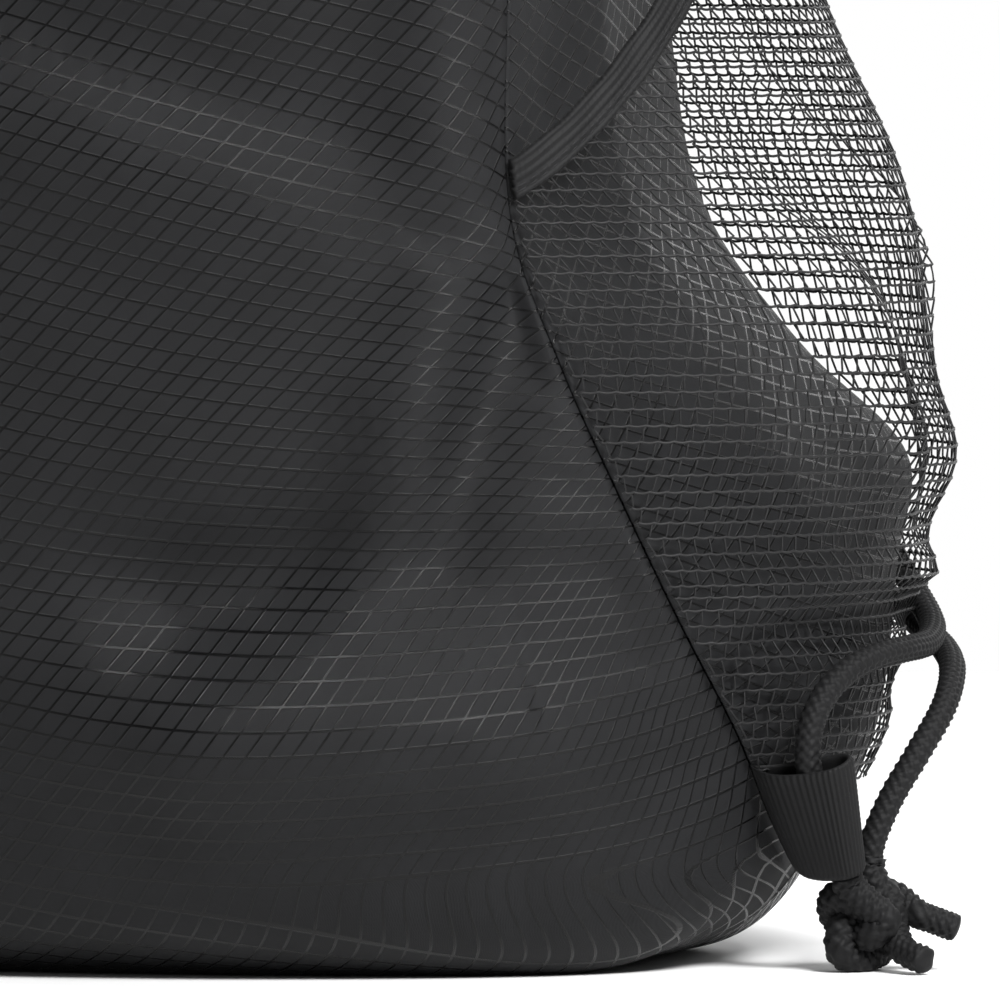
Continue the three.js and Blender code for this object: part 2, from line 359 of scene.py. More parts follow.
# ---- Meshes ----
def sheet_mesh(outer, thickness):
    """A closed sheet whose outer face is the grid, as (points, faces)."""
    rows, columns = outer.shape[:2]
    inner = outer - normals(outer) * thickness
    index = np.arange(rows * columns).reshape(rows, columns)
    quads = np.stack([index[:-1, :-1], index[:-1, 1:], index[1:, 1:], index[1:, :-1]], -1)
    quads = quads.reshape(-1, 4)
    back = quads[:, ::-1] + rows * columns
    loop = np.concatenate([index[0, :-1], index[:-1, -1], index[-1, :0:-1], index[:0:-1, 0]])
    after = np.roll(loop, -1)
    rim = np.stack([after, loop, loop + rows * columns, after + rows * columns], -1)
    points = np.vstack([outer.reshape(-1, 3), inner.reshape(-1, 3)])
    return points, np.vstack([quads, back, rim])


def frames_along(line):
    """Two directions across a line at each of its points, turning as little as they can."""
    along = unit(np.gradient(line, axis=0))
    side = np.zeros_like(line)
    side[0] = unit(np.cross(along[0], (0.3, 0.2, 1.0)))
    for i in range(1, len(line)):
        carried = side[i - 1] - along[i] * (side[i - 1] @ along[i])
        side[i] = carried / np.linalg.norm(carried)
    return side, np.cross(along, side)


def ring_directions(side, up, turn):
    """At each point of a line, the direction at each angle round it."""
    return (
        side[:, None] * np.cos(turn)[None, :, None] + up[:, None] * np.sin(turn)[None, :, None]
    )


def tube_mesh(line, around, radius):
    """A closed tube along a line. radius(turn, run) is its radius at an angle and a distance."""
    side, up = frames_along(line)
    turn = np.arange(around) * 2 * math.pi / around
    size = radius(turn[None, :], run_of(line)[:, None])[..., None]
    ring = line[:, None] + ring_directions(side, up, turn) * size
    count = len(line)
    index = np.arange(count * around).reshape(count, around)
    after = np.roll(index, -1, axis=1)
    quads = np.stack([index[:-1], after[:-1], after[1:], index[1:]], -1).reshape(-1, 4)
    points = np.vstack([ring.reshape(-1, 3), line[:1], line[-1:]])
    first, last = count * around, count * around + 1
    caps = [(first, after[0, k], index[0, k]) for k in range(around)]
    caps += [(last, index[-1, k], after[-1, k]) for k in range(around)]
    return points, quads, caps


def as_lists(faces):
    return faces.tolist() if isinstance(faces, np.ndarray) else faces


def joined(parts):
    """Several (points, quads, triangles) as one."""
    points, faces, start = [], [], 0
    for p, quads, triangles in parts:
        points.append(p)
        faces += (np.asarray(quads) + start).tolist()
        faces += [[c + start for c in t] for t in triangles]
        start += len(p)
    return np.vstack(points), faces


def piece(name, points, faces, material, slot, body=None, stands_for=(), cloth=None):
    """A mesh object in metres from points in millimetres, riding on a body.

    cloth, where given, is each point's place in the flat cloth, which the ripstop is drawn in.
    """
    mesh = bpy.data.meshes.new(name)
    mesh.from_pydata((np.asarray(points, float) * MM).tolist(), [], as_lists(faces))
    mesh.polygons.foreach_set("use_smooth", [True] * len(mesh.polygons))
    if cloth is not None:
        layer = mesh.attributes.new("cloth", "FLOAT_VECTOR", "POINT")
        layer.data.foreach_set("vector", np.asarray(cloth, np.float32).ravel())
    mesh.update()
    obj = bpy.data.objects.new(name, mesh)
    obj.data.materials.append(material)
    bpy.context.scene.collection.objects.link(obj)
    if body:
        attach(obj, body)
    if stands_for:
        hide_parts(*stands_for)
    return obj


SIDES = {"right": 1, "left": -1}  # each side with the sign of its X


def placed(side, points):
    return np.asarray(points, float) * (SIDES[side], 1, 1)


def on_side(side, points, faces):
    """The right side's mesh, mirrored where the side is the left one."""
    if side == "right":
        return points, faces
    return placed(side, points), [f[::-1] for f in as_lists(faces)]


# ---- Materials ----
class Shader:
    """One procedural Principled material, and short ways to add its nodes."""

    def __init__(self, name, roughness, specular, sheen=0.0):
        self.material = bpy.data.materials.new(name)
        self.material.use_nodes = True
        self.tree = self.material.node_tree
        self.bsdf = self.tree.nodes["Principled BSDF"]
        self.bsdf.inputs["Roughness"].default_value = roughness
        self.bsdf.inputs["Specular IOR Level"].default_value = specular
        self.bsdf.inputs["Sheen Weight"].default_value = sheen

    def node(self, kind, inputs=(), **settings):
        made = self.tree.nodes.new(kind)
        for name, value in settings.items():
            setattr(made, name, value)
        for key, value in dict(inputs).items():
            if isinstance(value, bpy.types.NodeSocket):
                self.tree.links.new(value, made.inputs[key])
            else:
                made.inputs[key].default_value = value
        return made

    def math(self, operation, a, b=0.0, c=0.0):
        return self.node(
            "ShaderNodeMath", {0: a, 1: b, 2: c}, operation=operation
        ).outputs[0]

    def colour(self, share, dark, light):
        blend = self.node(
            "ShaderNodeMix",
            {0: share, 6: (*dark, 1), 7: (*light, 1)},
            data_type="RGBA",
        )
        return blend.outputs[2]

    def spread_over(self, share, low, high):
        """A value that goes from low to high as the share goes from 0 to 1."""
        return self.node(
            "ShaderNodeMapRange", {"Value": share, "To Min": low, "To Max": high}
        ).outputs[0]

    def noise(self, vector, scale, detail):
        return self.node(
            "ShaderNodeTexNoise", {"Vector": vector, "Scale": scale, "Detail": detail}
        ).outputs["Fac"]

    def place(self):
        return self.node("ShaderNodeTexCoord").outputs["Object"]

    def finish(self, colour, roughness, height, depth):
        """Links the colour, roughness and bump, whose depth is in metres, and gives the material."""
        bump = self.node("ShaderNodeBump", {"Height": height, "Distance": depth})
        self.tree.links.new(colour, self.bsdf.inputs["Base Color"])
        self.tree.links.new(roughness, self.bsdf.inputs["Roughness"])
        self.tree.links.new(bump.outputs[0], self.bsdf.inputs["Normal"])
        return self.material


# The ripstop's heavier yarns cross as a skewed lattice. Each family has the direction across it, in
# degrees from level, and its pitch in millimetres.
LATTICE = ((74, 4.7), (-44, 4.15))
YARN = 0.075  # half a heavy yarn's width, as a share of its pitch
HEAVY_YARN = (0.001, 0.001, 0.0012)
WEAVE = 0.42  # pitch of the plain weave between them, in millimetres


def ripstop():
    s = Shader("ripstop", roughness=0.5, specular=0.25)
    cloth = s.node("ShaderNodeAttribute", attribute_name="cloth").outputs["Vector"]
    parts = s.node("ShaderNodeSeparateXYZ", {0: cloth})
    across, up = parts.outputs[0], parts.outputs[1]
    yarns = None
    for angle, pitch in LATTICE:
        a = s.math("MULTIPLY", across, math.cos(math.radians(angle)) / pitch)
        b = s.math("MULTIPLY_ADD", up, math.sin(math.radians(angle)) / pitch, a)
        off = s.math("PINGPONG", b, 0.5)
        line = s.node(
            "ShaderNodeMapRange",
            {
                "Value": off,
                "From Min": YARN * 0.55,
                "From Max": YARN * 1.25,
                "To Min": 1.0,
                "To Max": 0.0,
            },
            interpolation_type="SMOOTHSTEP",
        ).outputs[0]
        yarns = line if yarns is None else s.math("MAXIMUM", yarns, line)
    threads = []
    for direction in (across, up):
        wave = s.math("MULTIPLY", direction, 2 * math.pi / WEAVE)
        threads.append(s.math("SINE", wave))
    weave = s.math("MULTIPLY", threads[0], threads[1])
    patchy = s.noise(cloth, 0.05, 4.0)
    fibre = s.noise(cloth, 2.2, 2.0)
    tone = s.math("MULTIPLY_ADD", weave, 0.28, s.math("MULTIPLY", patchy, 0.8))
    tone = s.math("MULTIPLY_ADD", fibre, 0.35, tone)
    ground = s.colour(tone, HEAVY_YARN, (0.0095, 0.0098, 0.011))
    colour = s.node(
        "ShaderNodeMix", {0: yarns, 6: ground, 7: (*HEAVY_YARN, 1)}, data_type="RGBA"
    ).outputs[2]
    rough = s.spread_over(yarns, 0.7, 0.24)
    height = s.math("MULTIPLY_ADD", weave, 0.22, yarns)
    height = s.math("MULTIPLY_ADD", fibre, 0.25, height)
    return s.finish(colour, rough, height, 0.00012)


def yarn(name, dark, light, scale, roughness=0.62, specular=0.16, sheen=0.01, depth=0.00008):
    """Spun or filament yarn: fine streaks, with slow changes of tone as it is handled."""
    s = Shader(name, roughness, specular, sheen=sheen)
    place = s.place()
    fine = s.noise(place, scale, 4.0)
    slow = s.noise(place, scale / 60, 2.0)
    tone = s.math("MULTIPLY_ADD", fine, 0.7, s.math("MULTIPLY", slow, 0.5))
    colour = s.colour(tone, dark, light)
    rough = s.spread_over(fine, roughness - 0.12, roughness + 0.12)
    return s.finish(colour, rough, fine, depth)


RIPSTOP = ripstop()
NET_YARN = yarn("pocket_mesh", (0.004, 0.004, 0.0043), (0.016, 0.016, 0.0165), 3000, 0.5, 0.25)
BRAID = yarn("drawcord", (0.002, 0.002, 0.0022), (0.011, 0.011, 0.0115), 2500)
ELASTIC = yarn("elastic", (0.003, 0.003, 0.0032), (0.011, 0.011, 0.0115), 2500)
WEBBING = yarn("webbing", (0.003, 0.003, 0.0032), (0.012, 0.012, 0.0125), 2500)
TAPE = yarn("binding_tape", (0.003, 0.003, 0.0032), (0.010, 0.010, 0.0105), 1800)
THREAD = yarn("stitching", (0.006, 0.006, 0.0065), (0.020, 0.020, 0.021), 4000, 0.45)

# ---- Drawcords ----
BRAID_PITCH = 2.2
BRAID_CARRIERS = 6
BRAID_RELIEF = 0.25
CORD_STEP = 0.36
CORD_AROUND = 40


def braid(radius):
    """The radius of a round braid, whose strands pass over and under each other in two directions."""

    def at(turn, run):
        a = BRAID_CARRIERS / 2 * turn + math.pi / BRAID_PITCH * run
        b = BRAID_CARRIERS / 2 * turn - math.pi / BRAID_PITCH * run
        over = 0.45 * np.cos(a) * np.cos(b)
        one = np.sqrt(np.abs(np.cos(a))) + over
        other = np.sqrt(np.abs(np.cos(b))) - over
        return radius * (1 + BRAID_RELIEF * (np.maximum(one, other) - 1.15))

    return at


def cord_piece(name, points, body, node):
    """A braided drawcord along a route, standing for its solid."""
    mesh = joined([tube_mesh(route(points, CORD_STEP), CORD_AROUND, braid(CORD / 2))])
    return piece(name, *mesh, BRAID, "drawcord", body, [node])


def mouth_line(face, z):
    across = np.linspace(-CHANNEL_END, CHANNEL_END, 13)
    line = panel_point(face, across, np.ones_like(across))
    line[:, 2] = z
    return line


def mouth_loop(z):
    """The right cord's way round the mouth: in at its own side, and round in the open at the other."""
    front, back = mouth_line("front", z)[::-1], mouth_line("back", z)
    clear = 2
    leave = front[0] + unit(front[0] - front[1]) * clear
    arrive = back[-1] + unit(back[-1] - back[-2]) * clear
    turn = (back[0][0] - 0.8 * back[0][1], 0, z)
    return np.vstack([leave, front, turn, back, arrive])


def strand_points(side, points):
    """A strand's route: the left cord leaves the channel from its lower lane."""
    drop = 0 if side == "right" else 2 * CORD_LANE
    lowered = [(x, y, z - drop * smooth(*DROP_SPAN, z)) for x, y, z in points]
    return placed(side, lowered)


# The two strands are tied together in one overhand knot: a three-lobed curve, cut at one lobe.
KNOT_REACH = 2.5  # scale of the curve
KNOT_DEPTH = 3.348  # how far its lobes lean out of its plane
KNOT_CORD = 7.0  # the cord's diameter where it is bunched up in the knot
KNOT_OPENING = 0.35  # half of the cut in the curve, in radians
KNOT_LANE = 2.3  # how far each strand keeps from the middle between them
KNOT_STEP = 0.35
MELT = 1.5  # length of a tail's end where the braid is melted together
TAB_STRAND_IN = [(184.6, -20.5, 21.2), (185, -19.5, 18.9), (188, -18.6, 15.4)]
KNOT_STRAND_IN = [(187.4, -11, 24.5), (187, -11.2, 22.2), (189.5, -12.6, 17)]
UPPER_TAIL = [(196.4, -9.6, 12.8), (198.3, -10.4, 12), (201.5, -9.5, 10.8), (206, -8, 9)]
LOWER_TAIL = [(193.4, -13.5, 8), (195.6, -16, 5.2), (198.6, -18.4, 4), (202.4, -21, 3.1)]


def overhand(enter, tail, lane):
    """One strand's way through the knot, in a lane in front of or behind the knot's middle."""
    lobe = math.pi / 3
    t = np.linspace(lobe - KNOT_OPENING, lobe - 2 * math.pi + KNOT_OPENING, 18)
    sway = 0.7 * np.sin(1.7 * t + lane)
    x = (np.sin(t) + 2 * np.sin(2 * t)) * KNOT_REACH + sway * 0.9
    y = -np.sin(3 * t) * KNOT_DEPTH + lane
    z = (np.cos(t) - 2 * np.cos(2 * t)) * KNOT_REACH + sway * 0.6
    through = np.stack([x, y, z], -1) + KNOT_CENTRE
    return np.vstack([enter, through, tail])


for side, sign in SIDES.items():
    loop = placed(side, mouth_loop(CHANNEL_Z + sign * CORD_LANE))
    loop_obj = cord_piece(f"{side}_mouth_cord", loop, "sack", f"{side}_drawcord_mouth_loop")
    for strand, points in (("tab", TAB_STRAND), ("knot", KNOT_STRAND)):
        way = strand_points(side, points)
        obj = cord_piece(
            f"{side}_shoulder_cord_to_{strand}", way, None, f"{side}_strap_strand_to_{strand}"
        )
        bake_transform(obj)


# ---- Knots ----
def tied(line):
    """The radius of a cord in the knot: pulled thick through its turns, with a melted end."""
    total = run_of(line)[-1]
    woven = braid(KNOT_CORD / 2)

    def at(turn, run):
        left = total - run
        slim = mix(1, 1.08 * CORD / KNOT_CORD, smooth(16, 6, left))
        lump = (CORD / 2) * (1.02 + 0.07 * np.sin(3 * turn + 1) + 0.05 * np.sin(5 * turn))
        rounded = mix(0.45, 1, np.sqrt(np.clip(left / (MELT / 2), 0, 1)))
        return mix(woven(turn, run) * slim, lump, smooth(MELT, MELT / 2, left)) * rounded

    return at


def knot_mesh():
    parts = []
    for enter, tail, lane in (
        (TAB_STRAND_IN, LOWER_TAIL, -KNOT_LANE),
        (KNOT_STRAND_IN, UPPER_TAIL, KNOT_LANE),
    ):
        line = route(overhand(enter, tail, lane), KNOT_STEP)
        parts.append(tube_mesh(line, CORD_AROUND, tied(line)))
    points, faces = joined(parts)
    points[:, 2] = np.maximum(points[:, 2], GAP)
    return points, faces


for side in SIDES:
    knot = piece(
        f"{side}_overhand_knot",
        *on_side(side, *knot_mesh()),
        BRAID,
        "drawcord",
        f"{side}_knot",
        [f"{side}_cord_knot", f"{side}_upper_cord_tail", f"{side}_lower_cord_tail"],
    )

# ---- Folds of the cloth ----
PLEATS = 15  # gathers across half of the mouth
PLEAT_DEPTH = 2.2
FOLD_STEPS = 60


def gathers(across, up):
    """Pleats that the drawcord makes, deepest at the mouth and fading down the sack."""
    wander = 0.35 * np.sin(9 * across + 1.3) + 0.22 * np.sin(23 * across)
    phase = PLEATS * math.pi * across + 2.2 * wander + 3.0 * (1 - up) * np.sin(7 * across)
    reach = smooth(0.79 + 0.05 * np.sin(11 * across), 1.0, up)
    crisp = np.sin(phase) + 0.35 * np.sin(2 * phase + 0.8)
    return PLEAT_DEPTH * crisp * reach * mix(1.4, 1.0, reach)


def along_fold(x, z, line):
    """Distance from a fold's line, positive on its right, and how far along it a point lies."""
    flat_line = np.column_stack([line, np.zeros(len(line))])
    fine = curve_at(flat_line, np.linspace(0, 1, FOLD_STEPS))[:, :2]
    flat = np.stack([x.ravel(), z.ravel()], -1)
    gap = flat[:, None] - fine[None]
    far = (gap**2).sum(-1)
    nearest = far.argmin(1)
    tangent = unit(np.gradient(fine, axis=0))[nearest]
    away = gap[np.arange(len(flat)), nearest]
    side_of = away[:, 0] * tangent[:, 1] - away[:, 1] * tangent[:, 0]
    distance = np.sqrt(far.min(1)) * np.sign(side_of)
    return distance.reshape(x.shape), (nearest / (FOLD_STEPS - 1)).reshape(x.shape)


def crease(x, z, line, depth, width, fade=0.25):
    """A valley along the line with a soft ridge beside it, fading at both ends."""
    distance, along = along_fold(x, z, line)
    held = smooth(0, fade, along) * smooth(1, 1 - fade, along)
    valley = -hump(distance, -0.35 * width, 0.8 * width)
    ridge = 0.85 * hump(distance, 1.05 * width, 1.1 * width)
    return depth * held * (valley + ridge)


# The main panels' creases: a line in X and Z as the panel is faced, a depth and a width.
CREASES = [
    ([(38, 62), (62, 70), (82, 82), (99, 99), (113, 122)], 5.0, 19),
    ([(-60, 250), (0, 210), (60, 185), (112, 170)], 3.0, 16),
    ([(-128, 150), (-100, 105), (-60, 80), (-20, 66)], 4.2, 13),
    ([(124, 84), (127, 68), (131, 50)], 0.6, 2.4),
    ([(-108, 100), (-112, 84), (-118, 66)], 0.7, 2.6),
]
# Here the cloth stands up on the left of the line and dives on its right.
OVERLAP = [(94, 62), (103, 80), (109, 100), (113, 117), (118, 134), (123, 156)]
SHELF_DEPTH = 7.0  # of the slump above the base's corner


def panel_folds(face, across, up, base):
    """How far a main panel's cloth stands out from its plain surface."""
    x, z = base[..., 0], base[..., 2]
    turned = x if face == "front" else -x
    fold = sum(crease(turned, z, *line) for line in CREASES)
    distance, along = along_fold(turned, z, OVERLAP)
    held = smooth(0, 0.45, along) * smooth(1, 0.9, along)
    fold += held * (3.2 * hump(distance, -9, 10) - 5.0 * hump(distance, 7, 8.5))
    shelf = hump(z, 50, 15) - 0.8 * hump(z, 86, 15)
    fold += SHELF_DEPTH * shelf * smooth(5, 60, turned) * smooth(160, 115, turned)
    slow = np.sin(0.021 * x + 0.9) * np.sin(0.028 * z + 0.4)
    slow += 0.5 * np.sin(0.043 * x - 0.031 * z)
    fold += 1.3 * slow * smooth(0.25, 0.4, up)
    seam = np.abs(across)
    pucker = np.sin(0.42 * z + 1.7 * np.sin(0.11 * z))
    fold += 0.45 * pucker * smooth(0.90, 0.99, seam) * smooth(1.0, 0.985, seam)
    fold += gathers(across, up)
    fold += 4.0 * hump(seam, 0.9, 0.09) * smooth(150, 178, z) * smooth(265, 225, z)
    edges = smooth(1.0, 0.965, seam) * smooth(0.12, 0.30, up)
    return fold * np.where(up > 0.93, smooth(1.0, 0.985, seam), edges)


CLOTH_TURN = 0.287  # slope at which the corner's cloth is drawn down
TURN_FROM = 40  # distance from the panel's middle where that starts
TURN_SOFT = 22.5  # how gradually it starts


def cloth_place(base):
    """Where each point lies in the flat cloth, in millimetres, with the cloth turned towards a corner."""
    middle = base.shape[1] // 2
    across = run_along(base, 1)
    across = across - across[:, middle : middle + 1]
    rise = run_along(base, 0)
    turn = CLOTH_TURN * TURN_SOFT * np.log1p(np.exp((across - TURN_FROM) / TURN_SOFT))
    drawn = smooth(175, 60, base[..., 2]) * smooth(0, 25, base[..., 2])
    rise = rise - rise[-1:] - turn * drawn
    place = np.stack([across, rise, np.zeros_like(rise)], -1).reshape(-1, 3)
    return np.vstack([place, place])


def cloth_piece(name, mesh, node, cloth):
    return piece(name, *mesh, RIPSTOP, "ripstop", "sack", [node], cloth)


CLOTH_SHOWN = 0.8 * CLOTH  # a little thinner than the solid, which the folds need
PANEL_GRID = (221, 211)
HEM_TURN = 4  # how far a panel's edge reaches up into its drawcord channel
FACES = {"front": -1, "back": 1}  # each face with the sign of its Y
for face, sign in FACES.items():
    u, v = spread(*PANEL_GRID)
    across = sign * (1 - 2 * u)
    base = panel_point(face, across, v)
    shape = base + normals(base) * panel_folds(face, across, v, base)[..., None]
    shape[..., 1] = sign * np.maximum(sign * shape[..., 1], GAP)
    shape[..., 2] = np.maximum(shape[..., 2], 0.2)
    shape[..., 2] += HEM_TURN * smooth(0.965, 1, v)
    mesh = sheet_mesh(swollen(shape), CLOTH_SHOWN)
    obj = cloth_piece(f"{face}_cloth_panel", mesh, f"{face}_panel", cloth_place(base))

# ---- Side panels ----
SIDE_GRID = (101, 151)


def side_panel():
    """A side panel's mesh and its place in the flat cloth."""
    u, v = spread(*SIDE_GRID)
    base = side_point(u, mix(SIDE_START, 1, v))
    wave = 1.5 * np.sin(5.2 * u + 7 * v) * np.sin(6.3 * v + 0.5) + 0.8 * np.sin(11 * u - 9 * v)
    edge = smooth(0, 0.12, u) * smooth(1, 0.88, u) * smooth(0.15, 0.4, v)
    pleat = 1.5 * np.sin(26 * u + 1.5 * np.sin(5 * u)) * smooth(0.7, 1, v)
    shape = base + normals(base) * ((pleat - np.abs(wave)) * edge)[..., None]
    return sheet_mesh(swollen(shape), CLOTH_SHOWN), cloth_place(base)


for side in SIDES:
    mesh, cloth = side_panel()
    obj = cloth_piece(f"{side}_cloth_side", on_side(side, *mesh), f"{side}_side_panel", cloth)

# ---- Mesh pockets ----
NET_PITCH = 3.6
ROW_YARN = 0.30  # radius
COLUMN_YARN = 0.24
NET_JOG = 0.42  # how far a column's yarn steps along each row
NET_COLUMNS = 32  # columns on each side of the pocket's middle, with some to spare
NET_WIDTH = 150.0  # of the pocket, along its rows
NET_GRID = (121, 161)
RIDGE_HEIGHTS = [95, 110, 127, 150, 173, 205]
RIDGE_PLACES = [0.52, 0.45, 0.34, 0.26, 0.2, 0.16]  # share of the width, at those heights


def pocket_folds(u, v, point):
    """The net's puffed front edge, the fold behind it, and the gathers above its bottom seam."""
    z = point[..., 2]
    off = (u - np.interp(z, RIDGE_HEIGHTS, RIDGE_PLACES)) * NET_WIDTH
    strength = smooth(85, 115, z) * smooth(215, 170, z)
    fold = strength * (4.5 * hump(off, 0, 7.5) - 4.0 * hump(off, 19, 9))
    gather = np.sin(0.34 * z + 5.5 * np.sin(2.6 * u + 0.5)) + 0.6 * np.sin(0.19 * z + 8 * u)
    fold += 1.1 * gather * smooth(48, 60, z) * smooth(104, 84, z)
    fold += 0.9 * np.sin(0.09 * z + 9 * u) * smooth(100, 130, z)
    arch = 74 + 13 * np.sin(math.pi * u)
    fold += 3.2 * hump(z - arch, 0, 4.5) - 2.0 * hump(z - arch, -9, 5)
    off = (u - mix(0.93, 0.62, smooth(196, 146, z))) * NET_WIDTH
    fold += 3.0 * hump(off, 0, 2.2) * smooth(125, 150, z) * smooth(215, 190, z)
    held = smooth(0, 0.06, u) * smooth(1, 0.94, u) * smooth(0, 0.06, v) * smooth(1, 0.93, v)
    return fold * held


def pocket_surface():
    u, v = spread(*NET_GRID)
    point = pocket_point(u, v)
    return swollen(point + normals(point) * pocket_folds(u, v, point)[..., None])


def net_nodes(surface):
    """Where the net's columns cross its level rows: points, normals, and which of them are on the net."""
    rows, columns = surface.shape[:2]
    out = normals(surface)
    middle = surface[:, columns // 2]
    run = run_of(middle)
    climb = np.interp(np.arange(0, run[-1], NET_PITCH), run, middle[:, 2])
    above = np.arange(climb[-1] + NET_PITCH, surface[-1, :, 2].max(), NET_PITCH)
    below = np.arange(surface[0, :, 2].min() + 1, climb[0], NET_PITCH)
    levels = np.concatenate([below, climb, above])
    offsets = np.arange(-NET_COLUMNS, NET_COLUMNS + 1) * NET_PITCH
    nodes = np.zeros((len(levels), len(offsets), 3))
    facing = np.zeros_like(nodes)
    real = np.zeros(nodes.shape[:2], bool)
    for k, level in enumerate(levels):
        line, lean = np.zeros((columns, 3)), np.zeros((columns, 3))
        inside = np.zeros(columns, bool)
        for j in range(columns):
            # Where the surface overhangs, a column counts as level, so that its heights rise.
            height = np.maximum.accumulate(surface[:, j, 2] + 1e-6 * np.arange(rows))
            inside[j] = height[0] <= level <= height[-1]
            line[j] = sampled(level, height, surface[:, j])
            lean[j] = sampled(level, height, out[:, j])
        length = run_of(line)
        at = length - length[columns // 2]
        nodes[k] = sampled(offsets, at, line)
        facing[k] = sampled(offsets, at, lean)
        share = np.interp(offsets, at, inside.astype(float))
        real[k] = (offsets >= at[0]) & (offsets <= at[-1]) & (share > 0.99)
    return nodes, unit(facing), real


def thin_tubes(lines, radius, sides):
    """Open tubes along many short lines of (points, outward directions)."""
    parts = []
    turn = np.arange(sides) * 2 * math.pi / sides + math.pi / 4
    for line, facing in lines:
        along = unit(np.gradient(line, axis=0))
        side = unit(np.cross(along, facing))
        ring = line[:, None] + radius * ring_directions(side, np.cross(side, along), turn)
        index = np.arange(len(line) * sides).reshape(len(line), sides)
        after = np.roll(index, -1, axis=1)
        quads = np.stack([index[:-1], after[:-1], after[1:], index[1:]], -1)
        parts.append((ring.reshape(-1, 3), quads.reshape(-1, 4), []))
    return parts


STITCH_PITCH = 3.2
STITCH_RADIUS = 0.17
STITCH_PLACES = np.array([0, 0.18, 0.62, 0.8])  # along one stitch, as shares of the pitch
STITCH_HEIGHTS = np.array([-0.2, 0.12, 0.12, -0.2])  # off the cloth, at those places


def stitching(name, lines):
    """Rows of thread along lines of (points, outward directions), one stitch after another."""
    parts = []
    for line, facing in lines:
        run = run_of(line)
        for start in np.arange(0, run[-1] - STITCH_PITCH, STITCH_PITCH):
            at = start + STITCH_PITCH * STITCH_PLACES
            spots, leans = sampled(at, run, line), sampled(at, run, facing)
            parts.append((spots + leans * STITCH_HEIGHTS[:, None], leans))
    points, faces = joined(thin_tubes(parts, STITCH_RADIUS, 6))
    return piece(name, points, faces, THREAD, "binding_tape", "sack")


def stretches(flags):
    """Start and end of each unbroken row of true values that is at least two long."""
    edges = np.flatnonzero(np.diff(np.concatenate([[0], flags.astype(int), [0]])))
    return [(a, b) for a, b in zip(edges[::2], edges[1::2]) if b - a >= 2]


def row_yarn(nodes, facing):
    """A row's yarn, with a sawtooth step between one node and the next."""
    count = len(nodes)
    fine = np.arange(0, count - 0.75, 0.25)
    spots = sampled(fine, np.arange(count), nodes)
    leans = unit(sampled(fine, np.arange(count), facing))
    spots[:, 2] += np.interp(fine % 1.0, [0, 0.25, 0.5, 0.75, 1], [0.16, -0.1, -0.16, -0.06, 0.16])
    return spots + leans * 0.12, leans


def column_yarn(nodes, facing):
    """A column's yarn, which zigzags up from row to row and steps sideways along each row."""
    sideways = unit(np.cross(np.gradient(nodes, axis=0), facing))
    line, leans = [], []
    for i, node in enumerate(nodes):
        for jog, lift in ((-NET_JOG, -0.25), (NET_JOG, 0.25)):
            line.append(node + sideways[i] * jog + [0, 0, lift])
            leans.append(facing[i])
        if i + 1 < len(nodes):
            line.append((node + nodes[i + 1]) / 2)
            leans.append(facing[i])
    return np.array(line), np.array(leans)


def net_mesh(surface):
    nodes, facing, real = net_nodes(surface)
    rows, columns = real.shape
    lines_across, lines_up = [], []
    # Each yarn carries on to where its surface ends, which is where the nodes past a seam lie.
    level, upright = real.copy(), real.copy()
    level[:, 1:] |= real[:, :-1]
    level[:, :-1] |= real[:, 1:]
    upright[1:] |= real[:-1]
    upright[:-1] |= real[1:]
    for k in range(rows):
        for a, b in stretches(level[k]):
            lines_across.append(row_yarn(nodes[k, a:b], facing[k, a:b]))
    for j in range(columns):
        for a, b in stretches(upright[:, j]):
            lines_up.append(column_yarn(nodes[a:b, j], facing[a:b, j]))
    return joined(
        thin_tubes(lines_across, ROW_YARN, 5) + thin_tubes(lines_up, COLUMN_YARN, 4)
    )


net_surface = pocket_surface()
net = net_mesh(net_surface)
for side in SIDES:
    piece(
        f"{side}_net_pocket",
        *on_side(side, *net),
        NET_YARN,
        "pocket_mesh",
        "sack",
        [f"{side}_mesh_pocket"],
    )

# ---- Elastic round each pocket's mouth ----
ELASTIC_GRID = (401, 15)
ELASTIC_BELOW = 1.2  # how far it reaches down over the net's edge
ELASTIC_OVER = 1.5  # how much wider it is than its solid
ELASTIC_CROSS_RIBS = 170
ELASTIC_LONG_RIBS = 4
ELASTIC_STITCHES = (2, 4)  # rows of its grid


def elastic_band(rim):
    """The elastic's grid along the net's upper edge, and the outward directions there."""
    u, v = spread(*ELASTIC_GRID)
    place = np.linspace(0, 1, NET_GRID[0])
    top, below = (sampled(u[0], place, rim[row]) for row in (-1, -4))
    out = unit(sampled(u[0], place, normals(rim)[-1]))
    reach = (ELASTIC_WIDTH + ELASTIC_OVER) * v - ELASTIC_BELOW
    ribs = 0.16 * np.cos(2 * math.pi * ELASTIC_CROSS_RIBS * u)
    ribs += 0.22 * np.cos(2 * math.pi * ELASTIC_LONG_RIBS * v)
    swell = 0.5 * np.sin(2 * math.pi * 13 * u + 2.5 * np.sin(9 * u)) * (v - 0.3)
    proud = ELASTIC_PROUD + ribs + swell
    return top + unit(top - below) * reach[..., None] + out * proud[..., None], out


band, band_out = elastic_band(net_surface)
for side in SIDES:
    piece(
        f"{side}_elastic_band",
        *on_side(side, *sheet_mesh(band, ELASTIC_THICK)),
        ELASTIC,
        "elastic",
        "sack",
        [f"{side}_pocket_elastic"],
    )
    rows = [(placed(side, band[k]), placed(side, band_out)) for k in ELASTIC_STITCHES]
    stitching(f"{side}_elastic_stitching", rows)


